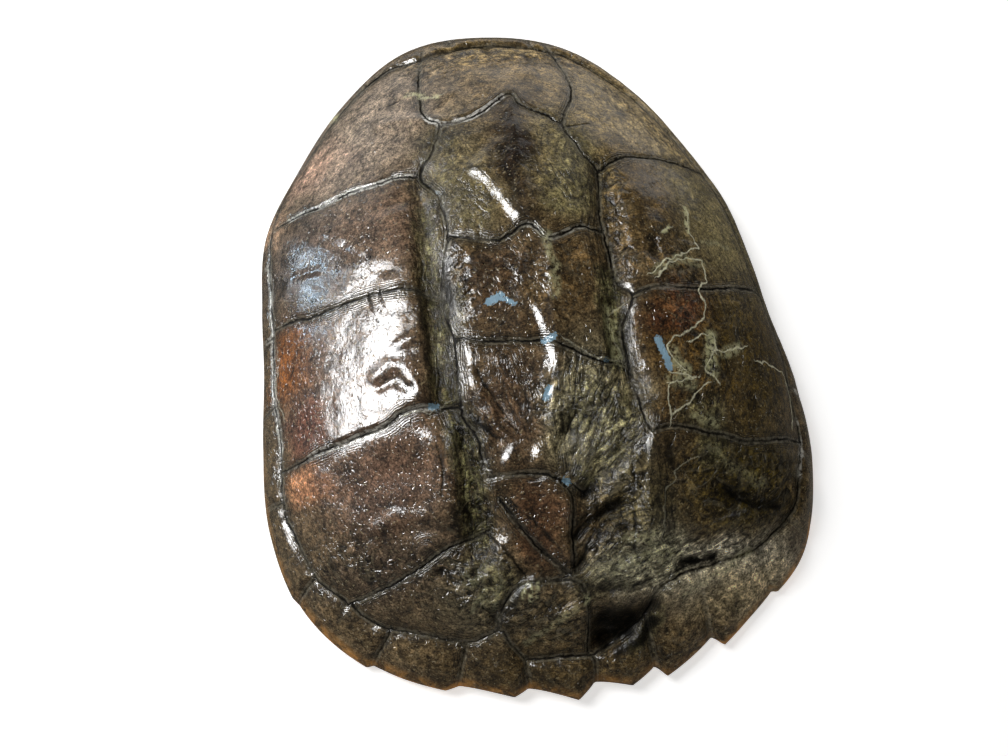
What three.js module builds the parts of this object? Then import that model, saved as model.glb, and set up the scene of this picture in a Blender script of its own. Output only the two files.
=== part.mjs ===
// Turtle carapace: the upper shell alone, one grown piece of bone and horn, hollow below.
// Millimetres, +Z up, head end +Y, tail end -Y. Origin under the middle of the bounding box.
import * as THREE from 'three';
import { mergeVertices } from 'three/addons/utils/BufferGeometryUtils.js';

// ---- driving dimensions -------------------------------------------------------------
const DOME_HEIGHT = 98;          // smooth dome above the resting plane, before the keel
const EDGE_THICKNESS = 3.5;      // rim edge, top corner above the resting line
const EDGE_BEVEL = 2;            // resting line stands this far inside the outer edge
const REST_FLAT = 3.5;           // width of the flat under the rim
const WALL = 5;                  // bone thickness of the dome
const FRONT_ARCH = 13.4;         // lift of the rim over the neck
const REAR_ARCH = 6.4;           // lift of the rim over the tail
const KEEL_HEIGHT = 4;           // middle keel above the vertebral scutes
const TROUGH_DEPTH = 5;          // valleys each side of the vertebral scutes
const PILLOW = 1.0;              // scute middles above their margins
const GROOVE = 1.1;              // seam depth
const TOP_CELLS = 56;            // grid cells across the outer face
const UNDER_CELLS = 36;          // grid cells across the inner face
const CENTRE = [-0.35, -3.5];    // plan shift that puts the origin under the box middle

// Rim radius from the centre every 15 degrees, counter-clockwise from +X (the right side).
const RIM_RADIUS = [122, 121.5, 127, 133.5, 145, 156, 159.5, 161, 152, 143, 138.5, 129.5,
  127, 135, 150.5, 163.5, 165.5, 161, 160, 161.5, 162, 164, 150, 133.5];

// Saw teeth of the rear marginals: first notch, last notch, tip (degrees), tip height.
const TEETH = [
  [205, 222, 220.5, 1], [222, 237.4, 236.6, 2], [237.4, 251.3, 249.4, 2.6],
  [251.3, 262.4, 260.3, 3.8], [262.4, 273.3, 270.4, 6.8], [273.3, 283.4, 279.2, 5],
  [283.4, 294.1, 284.9, 6], [294.1, 307, 295.4, 6.3], [307, 320, 307.8, 2]];

// Seams between the scutes, in plan. The first closes on itself: marginals against the rest.
const SEAMS = [
  [[-112, 78], [-105, 92], [-95, 104], [-82, 121], [-69, 134], [-55, 143], [-40, 146],
    [-25, 149], [-4, 152], [21, 148], [37, 141], [50, 131], [62, 120], [75, 104], [87, 85],
    [96, 67], [102, 50], [106, 33], [108, 18], [112, 6], [115, -6], [116, -18], [116, -32],
    [115, -48], [118, -66], [114, -82], [111, -93], [101, -102], [86, -111], [67, -115],
    [51, -117], [38, -123], [33, -133], [21, -142], [9, -147], [-6, -146], [-21, -145],
    [-27, -138], [-32, -131], [-45, -134], [-71, -127], [-85, -121], [-97, -110],
    [-109, -98], [-117, -80], [-121, -63], [-119, -42], [-120, -20], [-120, 0], [-118, 20],
    [-118, 40], [-117, 60], [-112, 78]],
  [[-34, 147], [-38, 123], [-39, 104], [-36, 92], [-32, 88], [-37, 75], [-44, 65],
    [-40, 56], [-36, 47], [-36, 30], [-39, 17], [-41, 0], [-38, -14], [-39, -41],
    [-34, -55], [-31, -70]],
  [[28, 147], [31, 113], [29, 99], [22, 82], [27, 67], [33, 57], [30, 35], [30, 26],
    [31, 4], [36, -5], [31, -17], [31, -32], [34, -48], [37, -60]],
  [[-32, 88], [-18, 90], [0, 101], [5, 93], [22, 82]],
  [[-36, 30], [-15, 25], [-3, 30], [5, 23], [19, 27], [30, 26]],
  [[-38, -14], [-25, -18], [-3, -20], [17, -29], [31, -32]],
  [[-31, -70], [-10, -71], [-4, -74], [8, -80]],
  [[-113, 68], [-89, 65], [-70, 65], [-44, 65]],
  [[33, 57], [48, 64], [68, 67], [96, 71]],
  [[-118, 17], [-96, 12], [-69, 11], [-53, 9], [-40, 4]],
  [[36, -5], [45, -2], [69, -1], [112, 7]],
  [[-120, -51], [-93, -47], [-70, -44], [-60, -40], [-39, -41]],
  [[37, -60], [50, -59], [81, -66], [118, -65]],
  [[-33, -90], [-50, -96], [-67, -103], [-81, -108], [-97, -112]],
  [[-4, -74], [2, -83], [1, -97], [1, -112]],
  [[-27, -79], [-17, -96], [-2, -112]],
  [[-32, -131], [-31, -124], [-22, -114], [4, -117], [7, -145]],
  [[-109, -98], [-121, -108]], [[-79, -124], [-85, -133], [-91, -142]],
  [[-46, -134], [-50, -144], [-52, -154]], [[-21, -145], [-21, -161]],
  [[9, -147], [9, -160]], [[33, -133], [36, -146], [38, -158]],
  [[57, -116], [61, -131], [66, -148]], [[88, -110], [99, -131]],
  [[106, -98], [121, -110]], [[-121, -63], [-132, -63]], [[-120, -20], [-131, -22]],
  [[-119, 14], [-127, 15]], [[-118, 50], [-125, 51]], [[-111, 80], [-115, 82]],
  [[-90, 111], [-95, 113]], [[-63, 138], [-67, 145]], [[-20, 150], [-21, 163]],
  [[20, 148], [22, 160]], [[116, -40], [129, -42]], [[118, -70], [130, -73]]];

// Lines of relief: [height, half width, crisp crest?, plan points].
const RELIEF = [
  [-TROUGH_DEPTH, 7, false, [[-43, 62], [-44, 30], [-44, 12], [-43, -6], [-44, -22], [-44, -38], [-40, -51], [-37, -66], [-37, -82], [-36, -94]]],
  [-4.2, 6.5, false, [[33, 57], [31, 26], [30, 0], [29, -20], [31, -46]]],
  [KEEL_HEIGHT, 8, true, [[0, 99], [-2, 60], [-1, 32], [4, 20], [2, -20], [-2, -42], [-5, -70]]],
  [3, 6, true, [[1, -84], [0, -112]]],
  [2.5, 11, false, [[54, 40], [51, -20], [40, -60], [33, -98]]],
  [2, 14, false, [[-64, 50], [-62, 10], [-66, -40]]],
  [2.5, 8, false, [[-50, -58], [-50, -78], [-54, -92]]],
  [-2.6, 3.5, false, [[-36, -44], [-28, -55], [-21, -62], [-10, -71]]],
  [-1.6, 3.5, false, [[-31, -30], [-22, -47]]],
  [-2.6, 4, false, [[-2, -63], [3, -55], [7, -50]]],
  [-2.8, 4, false, [[10, -72], [19, -68], [30, -63]]],
  [-4, 4, false, [[0, -97], [9, -91], [24, -85]]],
  [-3, 4, false, [[2, -109], [15, -92], [26, -89]]],
  [-3, 5, false, [[16, -121], [34, -119], [53, -114]]],
  [-3, 5, false, [[6, -82], [9, -80]]],
  [-8, 9, false, [[11, -132], [22, -134], [36, -131]]],
  [4, 9, false, [[-14, -122], [-12, -132]]],
  [3, 9, false, [[-27, -100], [-40, -118], [-52, -122]]]];

const rad = Math.PI / 180;
const lerpCycle = (list, deg) => {           // Catmull-Rom through equally spaced values
  const n = list.length, t = ((deg % 360 + 360) % 360) / (360 / n);
  const i = Math.floor(t), f = t - i, p = k => list[(i + k + n) % n];
  const a = p(-1), b = p(0), c = p(1), d = p(2);
  return 0.5 * (2 * b + (c - a) * f + (2 * a - 5 * b + 4 * c - d) * f * f
    + (3 * b - a - 3 * c + d) * f * f * f);
};

const toothAt = deg => {
  for (const [from, to, tip, height] of TEETH) {
    if (deg < from || deg >= to) continue;
    return deg < tip ? height * ((deg - from) / (tip - from)) ** 1.5
      : height * ((to - deg) / (to - tip)) ** 0.9;
  }
  return 0;
};

const turn = (a, b) => ((a - b + 540) % 360) - 180;
const degOf = (x, y) => (Math.atan2(y, x) / rad + 360) % 360;
const plainRadius = deg => lerpCycle(RIM_RADIUS, deg);
const rimRadius = deg => plainRadius(deg) + toothAt((deg + 360) % 360);
// A tooth only draws out the last part of its marginal, so it fades towards the crown.
const reachAt = (deg, share) => plainRadius(deg)
  + toothAt((deg + 360) % 360) * THREE.MathUtils.smoothstep(share, 0.86, 1);
const rhoAt = (x, y) => {
  const deg = degOf(x, y), r = Math.hypot(x, y);
  return Math.min(1, r / reachAt(deg, r / rimRadius(deg)));
};
const rimLift = deg => Math.max(0, FRONT_ARCH * Math.exp(-((turn(deg, 95) / 34) ** 2))
  + REAR_ARCH * Math.exp(-((turn(deg, 270) / 36) ** 2)) - 0.4);

// Fall of the dome from 1 at the crown to 0 at the rim: blunt flanks, longer ends.
const fall = (rho, deg) => {
  const s = Math.sin(deg * rad);
  const front = Math.max(0, s) ** 1.6, rear = Math.max(0, -s) ** 1.6, side = 1 - front - rear;
  const a = 2.3 * side + 2 * front + 2 * rear;
  const b = 0.62 * side + 0.8 * front + 0.92 * rear;
  const c = 0.975 * side + 0.955 * front + 0.97 * rear;
  const end = (1 - c ** a) ** b;
  return ((1 - (c * rho) ** a) ** b - end) / (1 - end);
};

const gutter = (rho, deg) => 6 * Math.max(0, -Math.sin(deg * rad)) ** 1.6
  * Math.exp(-(((rho - 0.89) / 0.06) ** 2));

const nearestOn = (line, x, y) => {
  let best = [Infinity, 0, 0];
  for (let i = 1; i < line.length; i++) {
    const [ax, ay] = line[i - 1], [bx, by] = line[i];
    const ux = bx - ax, uy = by - ay;
    const t = THREE.MathUtils.clamp(((x - ax) * ux + (y - ay) * uy) / (ux * ux + uy * uy), 0, 1);
    const px = ax + t * ux, py = ay + t * uy, d = Math.hypot(x - px, y - py);
    if (d < best[0]) best = [d, px, py];
  }
  return best;
};
const nearestSeam = (x, y) => SEAMS.map(line => nearestOn(line, x, y))
  .reduce((a, b) => (b[0] < a[0] ? b : a));

const relief = (x, y) => RELIEF.reduce((sum, [height, width, crisp, line]) => {
  const d = nearestOn(line, x, y)[0];
  return sum + height * (crisp ? Math.exp(-d / width) : Math.exp(-((d / width) ** 2)));
}, 0);

const scuteSwell = d => PILLOW * (1 - Math.exp(-d / 6)) - GROOVE * Math.exp(-((d / 2) ** 2));

const outerHeight = (x, y, seamDistance) => {
  const deg = degOf(x, y), rho = rhoAt(x, y);
  const foot = rimLift(deg) + EDGE_THICKNESS;
  const calm = THREE.MathUtils.smoothstep(1 - rho, 0, 0.06);
  return foot + (DOME_HEIGHT - foot) * fall(rho, deg) - gutter(rho, deg)
    + calm * (relief(x, y) + scuteSwell(seamDistance));
};

// The lowest of the relief round a point, so that the inner face stays clear of every dip.
const DIP_STEPS = [[0, 0], [5, 0], [-5, 0], [0, 5], [0, -5], [7, 7], [-7, 7], [7, -7], [-7, -7]];
const deepestDip = (x, y) => Math.min(0, ...DIP_STEPS.map(([dx, dy]) => relief(x + dx, y + dy)));

// Inner face: the same dome one wall thickness in, with a backbone ridge and rib ridges.
const innerHeight = (x, y) => {
  const deg = degOf(x, y), reach = plainRadius(deg) - EDGE_BEVEL - REST_FLAT;
  const rho = Math.min(1, Math.hypot(x, y) / reach), foot = rimLift(deg);
  const calm = THREE.MathUtils.smoothstep(1 - rho, 0, 0.12);
  const backbone = 3 * Math.exp(-((x / 8) ** 2));
  const rib = 1.4 * Math.max(0, Math.cos((y + 6 - Math.abs(x) * 0.12) * Math.PI / 14)) ** 3
    * THREE.MathUtils.smoothstep(Math.abs(x), 8, 20);
  return foot + (DOME_HEIGHT - WALL - foot) * fall(rho, deg) - gutter(rho, deg) * calm
    + calm * (deepestDip(x, y) - backbone - rib);
};

// A square grid drawn onto a disc, so that the cells stay even from the crown to the rim.
const discGrid = cells => {
  const flat = new THREE.PlaneGeometry(2, 2, cells, cells), at = flat.attributes.position;
  const spots = [];
  for (let i = 0; i < at.count; i++) {
    const u = at.getX(i), v = at.getY(i), s = Math.max(Math.abs(u), Math.abs(v));
    let deg = 0;
    if (s > 0) {
      if (Math.abs(u) > Math.abs(v)) deg = (u > 0 ? 0 : 180) + 45 * v / u;
      else deg = (v > 0 ? 90 : 270) - 45 * u / v;
    }
    spots.push({ s, deg: (deg + 360) % 360, edge: s > 1 - 1e-6 });
  }
  // Each cell is cut along the diagonal that points at the crown, so no face is a sliver.
  const faces = [], cut = Array.from(flat.index.array);
  for (let k = 0; k < cut.length; k += 6) {
    const [a, b, d, , c] = cut.slice(k, k + 6);
    const u = at.getX(a) + at.getX(c), v = at.getY(a) + at.getY(c);
    if (u * v < 0) faces.push(a, b, c, a, c, d);
    else faces.push(a, b, d, b, c, d);
  }
  return { spots, faces };
};
const evenFlank = s => Math.sin(1.05 * s) / Math.sin(1.05);

// The rim corners nearest to the given angles move onto them.
const pinEdge = (grid, marks) => marks.forEach(mark => {
  const near = grid.spots.filter(p => p.edge && !p.kept)
    .reduce((a, b) => (Math.abs(turn(b.deg, mark)) < Math.abs(turn(a.deg, mark)) ? b : a));
  near.deg = mark;
  near.kept = true;
});

const top = discGrid(TOP_CELLS);
pinEdge(top, TEETH.flatMap(([from, , tip]) => [from, tip]));
const flankStep = (s, deg) => plainRadius(deg) * (evenFlank(s + 0.01) - evenFlank(s - 0.01)) / 0.02
  * 2 / TOP_CELLS;
const plan = top.spots.map(({ s, deg, edge }) => {
  const even = evenFlank(s), r = reachAt(deg, even) * even;
  const x = r * Math.cos(deg * rad), y = r * Math.sin(deg * rad);
  const [d, px, py] = nearestSeam(x, y);
  const onSeam = !edge && s < 0.95 && d < 0.36 * flankStep(s, deg);
  return { x, y, d: edge ? 0 : d, to: onSeam ? [px, py] : [x, y], onSeam };
});
// A corner stays off its seam where moving it would pinch a face.
const planArea = corners => {
  const [[ax, ay], [bx, by], [cx, cy]] = corners;
  return ((bx - ax) * (cy - ay) - (by - ay) * (cx - ax)) / 2;
};
for (let pass = 0; pass < 4; pass++) {
  for (let k = 0; k < top.faces.length; k += 3) {
    const three = top.faces.slice(k, k + 3).map(n => plan[n]);
    const before = planArea(three.map(p => [p.x, p.y]));
    if (planArea(three.map(p => p.to)) > 0.4 * before) continue;
    for (const p of three) [p.to, p.onSeam] = [[p.x, p.y], false];
  }
}
const topPoints = plan.map(({ to: [x, y], d, onSeam }) => [x, y, outerHeight(x, y, onSeam ? 0 : d)]);

const under = discGrid(UNDER_CELLS);
pinEdge(under, TEETH.map(([from]) => from));
const lastRing = 1 - 2 / UNDER_CELLS;
const underPoints = under.spots.map(({ s, deg, edge }) => {
  const r = edge ? plainRadius(deg) - EDGE_BEVEL
    : (plainRadius(deg) - EDGE_BEVEL - REST_FLAT) * evenFlank(s / lastRing);
  const x = r * Math.cos(deg * rad), y = r * Math.sin(deg * rad);
  return [x, y, edge ? rimLift(deg) : innerHeight(x, y)];
});

// One closed skin: outer face, inner face turned over, and the band of the rim edge.
const points = [...topPoints, ...underPoints], shift = topPoints.length, faces = [...top.faces];
for (let i = 0; i < under.faces.length; i += 3) {
  const [a, b, c] = under.faces.slice(i, i + 3).map(k => k + shift);
  faces.push(a, c, b);
}
const ring = (grid, offset) => grid.spots.map((p, i) => ({ deg: p.deg, id: i + offset, edge: p.edge }))
  .filter(p => p.edge).sort((a, b) => a.deg - b.deg);
const outerRing = ring(top, 0), innerRing = ring(under, shift);
let i = 0, j = 0;
while (i < outerRing.length || j < innerRing.length) {
  const a = outerRing[i % outerRing.length], b = innerRing[j % innerRing.length];
  const nextA = i + 1 < outerRing.length ? outerRing[i + 1].deg : 360 + outerRing[(i + 1) % outerRing.length].deg;
  const nextB = j + 1 < innerRing.length ? innerRing[j + 1].deg : 360 + innerRing[(j + 1) % innerRing.length].deg;
  if (j >= innerRing.length || (i < outerRing.length && nextA <= nextB)) {
    faces.push(a.id, b.id, outerRing[++i % outerRing.length].id);
  } else {
    faces.push(a.id, b.id, innerRing[++j % innerRing.length].id);
  }
}

const geometry = new THREE.BufferGeometry();
geometry.setAttribute('position', new THREE.Float32BufferAttribute(points.flat(), 3));
geometry.setIndex(faces);
geometry.translate(-CENTRE[0], -CENTRE[1], 0);
const skin = mergeVertices(geometry, 1e-4);
skin.computeVertexNormals();

const horn = new THREE.MeshStandardMaterial({ name: 'horn', color: 0x3b2c1c, roughness: 0.22, metalness: 0 });
const carapace = new THREE.Mesh(skin, horn);
carapace.name = 'carapace';

const shell = new THREE.Group();
shell.add(carapace);
export default shell;
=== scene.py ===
import math
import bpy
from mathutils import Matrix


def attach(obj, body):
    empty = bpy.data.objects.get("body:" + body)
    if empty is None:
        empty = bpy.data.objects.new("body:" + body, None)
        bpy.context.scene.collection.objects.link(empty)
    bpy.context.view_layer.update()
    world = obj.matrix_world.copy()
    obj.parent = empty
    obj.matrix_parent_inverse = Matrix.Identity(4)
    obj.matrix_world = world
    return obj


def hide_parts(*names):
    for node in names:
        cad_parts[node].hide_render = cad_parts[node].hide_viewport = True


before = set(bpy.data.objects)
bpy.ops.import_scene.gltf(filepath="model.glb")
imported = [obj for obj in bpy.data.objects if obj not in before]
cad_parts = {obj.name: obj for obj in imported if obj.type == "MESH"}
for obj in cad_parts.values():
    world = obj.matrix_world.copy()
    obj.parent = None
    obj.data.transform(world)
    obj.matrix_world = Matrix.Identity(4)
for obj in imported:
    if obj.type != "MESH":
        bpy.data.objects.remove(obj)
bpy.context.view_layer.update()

from types import SimpleNamespace

import bmesh
import bpy
import numpy as np
from mathutils import Matrix, Vector

bl_info = {
    "name": "Turtle carapace",
    "version": (1, 0, 0),
    "blender": (4, 5, 0),
    "location": "View3D > Sidebar > Carapace",
    "description": "A lacquered turtle carapace, hollow below, on a plain studio floor",
    "category": "Add Mesh",
}

NODE = "carapace"

# ---- Shape of the shell, in millimetres --------------------------------------------------
# Plan positions count from the crown; the shell's own origin is CENTRE away from it.
CENTRE = (-0.35, -3.5)
DOME_HEIGHT = 98.0
EDGE_THICKNESS = 3.5
EDGE_BEVEL = 2.0                 # how far the foot of the rim is drawn in
EDGE_INSET = 0.9                 # how far the outer face stops short of the rim
REST_FLAT = 3.5                  # flat under the rim that the shell rests on
JOIN_STRIP = 0.5                 # outermost part of that flat, joining the two faces
FLAT_CELL_SHARE = 0.014          # share of the inner grid that the flat takes up
WALL = 5.0
CELL_SPREAD = 1.05               # evens out the cells between the crown and the rim

# The rim rounds over in steps: how far out and how far down each one stands.
EDGE_STEPS = ((-0.3, 0.75), (-0.08, 1.7), (-0.5, 2.8), (-EDGE_BEVEL, EDGE_THICKNESS))
TOOTH_DEPTH = 3                  # how far down the edge the teeth reach

# Arches of the rim: height, middle and half width in degrees. Then what is taken off them, so
# that the sides lie flat.
ARCHES = ((13.4, 95, 34), (6.4, 270, 36))
ARCH_TRIM = 0.4

# Fall of the dome at the side, the front and the rear: two powers that set how blunt it is,
# and the share of the curve that is used. Then how sharply the ends take over from the sides.
FALL = ((2.3, 0.62, 0.975), (2.0, 0.80, 0.955), (2.0, 0.92, 0.97))
END_SHARPNESS = 1.6
REAR_GUTTER = (6, 0.89, 0.06)    # depth, share of the radius, half width as a share

# Swell of a scute between its seams: height, distance over which it rises, and how many times
# more a marginal swells. Then depth and half width of a seam.
SCUTE_SWELL, SWELL_REACH, MARGINAL_SWELL = 0.8, 4, 3.4
SEAM_DEPTH, SEAM_WIDTH = 0.7, 1.2
WAVES = ((0.5, 24, 11), (0.3, 9, 12), (0.16, 4, 13))     # height, size across, seed
SETTLE = 1.2                     # the modelled surface lies this much below the plain dome

BACKBONE = (3, 8)                # height and half width of the ridge inside
RIBS = (1.4, 14, 0.12)           # height, half the pitch, and lean towards the rear
FAR_AWAY = 30.0                  # distance stored where no line is near
STRAND_STRETCH = 0.13            # strands are drawn out to this share of their length

# Rim radius every 15 degrees, counter-clockwise from the right side.
RIM_RADIUS = (122, 121.5, 127, 133.5, 145, 156, 159.5, 161, 152, 143, 138.5, 129.5,
              127, 135, 150.5, 163.5, 165.5, 161, 160, 161.5, 162, 164, 150, 133.5)

# Saw teeth of the rear marginals: first notch, last notch and tip in degrees, tip height.
TEETH = (
    (205, 222, 220.5, 1), (222, 237.4, 236.6, 2), (237.4, 251.3, 249.4, 2.6),
    (251.3, 262.4, 260.3, 3.8), (262.4, 273.3, 270.4, 6.8), (273.3, 283.4, 279.2, 5),
    (283.4, 294.1, 284.9, 6), (294.1, 307, 295.4, 6.3), (307, 320, 307.8, 2),
)

TOOTH_RISE, TOOTH_DROP = 1.5, 0.9    # powers of the curve up to a tip, and down behind it
TOOTH_ROOT = 0.86                # share of the radius from which the teeth draw the face out

# Thin, light rim at the rear: middle and half width in degrees at the right and the left, and
# the shares of the radius over which it sets in.
THIN_RIGHT, THIN_LEFT = (312, 22), (240, 30)
THIN_SHARE = (0.970, 0.994)

# Seams between the scutes, in plan.
MARGINAL_RING = (
    (-112, 78), (-105, 92), (-95, 103), (-82, 119), (-70, 131), (-59, 139), (-48, 143),
    (-38, 141), (-26, 141), (-12, 147), (0, 149), (14, 146), (28, 143), (38, 138), (50, 129),
    (62, 118), (75, 103), (87, 85),
    (96, 67), (102, 50), (106, 33), (108, 18), (112, 6), (115, -6), (116, -18), (116, -32),
    (115, -48), (118, -66), (114, -82), (111, -93), (101, -102), (86, -111), (67, -115),
    (51, -117), (38, -123), (33, -133), (21, -142), (9, -147), (-6, -146), (-21, -145),
    (-27, -138), (-32, -131), (-45, -134), (-71, -127), (-85, -121), (-97, -110),
    (-109, -98), (-117, -80), (-121, -63), (-119, -42), (-120, -20), (-120, 0), (-118, 20),
    (-118, 40), (-117, 60), (-112, 78),
)
SCUTE_SEAMS = (
    ((-34, 147), (-38, 123), (-39, 104), (-36, 92), (-32, 88), (-37, 75), (-44, 65),
     (-40, 56), (-36, 47), (-36, 30), (-39, 17), (-41, 0), (-38, -14), (-39, -41),
     (-34, -55), (-31, -70)),
    ((28, 147), (31, 113), (29, 99), (22, 82), (27, 67), (33, 57), (30, 35), (30, 26),
     (31, 4), (36, -5), (31, -17), (31, -32), (34, -48), (37, -60)),
    ((-32, 88), (-18, 90), (0, 101), (5, 93), (22, 82)),
    ((-36, 30), (-15, 25), (-3, 30), (5, 23), (19, 27), (30, 26)),
    ((-38, -14), (-25, -18), (-3, -20), (17, -29), (31, -32)),
    ((-31, -70), (-10, -71), (-4, -74), (8, -80)),
    ((-113, 68), (-89, 65), (-70, 65), (-44, 65)),
    ((33, 57), (48, 64), (68, 67), (96, 71)),
    ((-118, 17), (-96, 12), (-69, 11), (-53, 9), (-40, 4)),
    ((36, -5), (45, -2), (69, -1), (112, 7)),
    ((-120, -51), (-93, -47), (-70, -44), (-60, -40), (-39, -41)),
    ((37, -60), (50, -59), (81, -66), (118, -65)),
    ((-33, -90), (-50, -96), (-67, -103), (-81, -108), (-97, -112)),
    ((-4, -74), (2, -83), (1, -97), (1, -112)),
    ((-27, -79), (-17, -96), (-2, -112)),
    ((-32, -131), (-31, -124), (-22, -114), (4, -117), (7, -145)),
)
MARGINAL_SEAMS = (
    ((-109, -98), (-121, -108)), ((-79, -124), (-85, -133), (-91, -142)),
    ((-46, -134), (-50, -144), (-52, -154)), ((-21, -145), (-21, -161)),
    ((9, -147), (9, -160)), ((33, -133), (36, -146), (38, -158)),
    ((57, -116), (61, -131), (66, -148)), ((88, -110), (99, -131)),
    ((106, -98), (121, -110)), ((-121, -63), (-132, -63)), ((-120, -20), (-131, -22)),
    ((-119, 14), (-127, 15)), ((-118, 50), (-125, 51)), ((-111, 80), (-115, 82)),
    ((-90, 111), (-95, 113)), ((-63, 138), (-67, 145)), ((-20, 150), (-21, 163)),
    ((20, 148), (22, 160)), ((116, -40), (129, -42)), ((118, -70), (130, -73)),
)

# Lines of relief: height, half width, crisp crest?, plan points.
RELIEF = (
    (-4.5, 7, False, ((-43, 62), (-44, 30), (-44, 12), (-43, -6), (-44, -22), (-44, -38),
                      (-40, -51), (-37, -66), (-37, -82), (-36, -94))),
    (-4.2, 6.5, False, ((33, 57), (31, 26), (30, 0), (29, -20), (31, -46))),
    (3.2, 8, True, ((0, 99), (-2, 60), (-1, 32), (4, 20), (2, -20), (-2, -42), (-5, -70))),
    (3, 5, True, ((1, -84), (0, -112))),
    (2.5, 11, False, ((54, 40), (51, -20), (40, -60), (33, -98))),
    (2, 14, False, ((-64, 50), (-62, 10), (-66, -40))),
    (2.5, 8, False, ((-50, -58), (-50, -78), (-54, -92))),
    (-2.2, 2.6, False, ((-36, -44), (-31, -51), (-26, -56))),
    (-1.6, 2.6, False, ((-31, -30), (-26, -39), (-22, -47))),
    (-2.2, 3, False, ((-2, -63), (3, -55), (7, -50))),
    (-2.4, 2.6, False, ((15, -71), (24, -68), (32, -63))),
    (-3.6, 3.5, False, ((2, -97), (9, -91), (24, -85))),
    (-2.8, 3.2, False, ((2, -109), (15, -92), (26, -89))),
    (-2.4, 3.6, False, ((16, -121), (34, -119), (53, -114))),
    (-3.4, 4.5, False, ((6, -83), (10, -80), (13, -78))),
    (1.2, 4, False, ((8, -102), (20, -98), (27, -100))),
    (3, 9, False, ((-27, -100), (-40, -118), (-52, -122))),
    (2.4, 4, False, ((-58, 99), (-45, 96), (-33, 90))),
    (-1.8, 3, False, ((50, 14), (50, 20))),
    (-2.6, 3.6, False, ((49, -112), (58, -112), (66, -111))),
    (1.4, 3.2, False, ((-72, -23), (-66, -20), (-60, -23), (-55, -33))),
    (-1.2, 2.4, False, ((-70, -28), (-64, -26), (-59, -31))),
    (1.1, 2.6, False, ((-62, -13), (-54, -11))),
    (-0.9, 1.8, False, ((-104, 35), (-92, 32))),
    (0.7, 2.2, False, ((-88, 49), (-87, 48))),
    (0.7, 2.0, False, ((-81, 42), (-80, 41))),
    (0.7, 2.2, False, ((-76, 37), (-75, 36))),
    (0.8, 2.4, False, ((-72, 33), (-71, 32))),
    (1.3, 4, False, ((-23, -66), (-19, -68))),
    (1.3, 4, False, ((-13, -65), (-10, -66))),
    (1.2, 2.4, False, ((-20, -137), (-12, -131), (0, -127))),
    (-1.0, 2.2, False, ((-26, -134), (-14, -126), (-4, -122))),
    (0.8, 5, False, ((-44, -107), (-36, -106))),
    (-1.2, 3, False, ((-54, -104), (-47, -112), (-38, -116))),
    (1.0, 3, False, ((-80, -84), (-70, -80), (-60, -82))),
    (-2.8, 3.6, False, ((66, -83), (84, -92), (100, -92), (104, -88))),
    (1.6, 5, False, ((66, -26), (69, -34))),
    (-1.8, 2.8, False, ((-82, 119), (-59, 139), (-38, 141), (-12, 147), (14, 146), (38, 138),
                        (62, 118))),
    (-1.8, 3.6, False, ((114, -78), (111, -92), (99, -103), (78, -112), (57, -116))),
    (1.6, 5, False, ((119, -84), (106, -104), (80, -120))),
    (2.2, 6, False, ((34, -62), (31, -76), (34, -90), (36, -101))),
    (1.4, 7, False, ((-14, 118), (0, 112), (12, 118))),
    (-1.5, 3, False, ((-3, 146), (-2, 136))),
    (0.9, 6, False, ((-76, 27), (-72, 26))),
    (-1.8, 13, False, ((-84, -66), (-54, -62))),
)

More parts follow.
